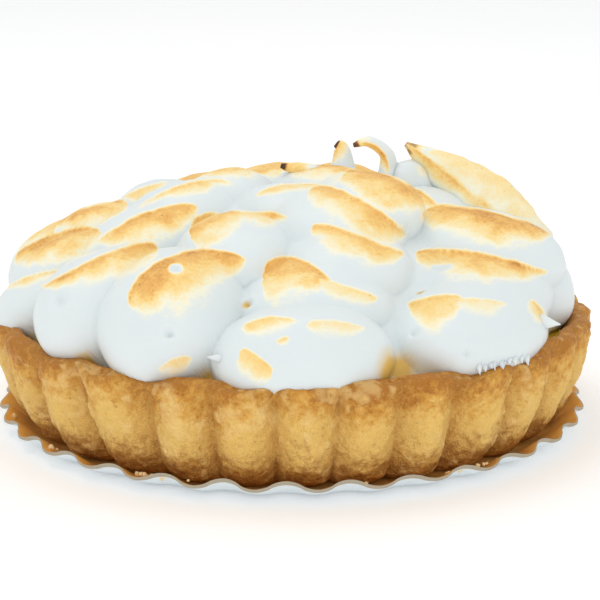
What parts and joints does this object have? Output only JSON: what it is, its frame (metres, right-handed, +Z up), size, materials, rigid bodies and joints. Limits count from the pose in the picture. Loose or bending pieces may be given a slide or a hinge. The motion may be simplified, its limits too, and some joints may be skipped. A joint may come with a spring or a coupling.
{
  "type": "lemon meringue tart",
  "caption": "Round fluted shortcrust tart filled with lemon curd under a dome of piped, browned meringue with drawn peaks, in a pleated gold card case.",
  "frame": {"origin": "on the table under the middle of the tart, at the card case's flat underside", "axes": "+Z up; -Y is the front shown in the picture, +X its right-hand side"},
  "size_m": [0.1003, 0.1001, 0.0464],
  "materials": {
    "gold_card": "gold foil laminated on card, mirror-like and warm, with a pale cut edge",
    "pastry": "dry baked shortcrust, matt and finely crumbly, browner on ridges and at the foot",
    "curd": "smooth glossy set lemon curd",
    "meringue": "soft satin white foam, browned golden on the tops of the mounds and dark at the peaks' tips"
  },
  "bodies": {
    "root": {"card_case": "gold_card", "pastry_shell": "pastry", "lemon_curd": "curd", "meringue": "meringue"}
  },
  "joints": []
}
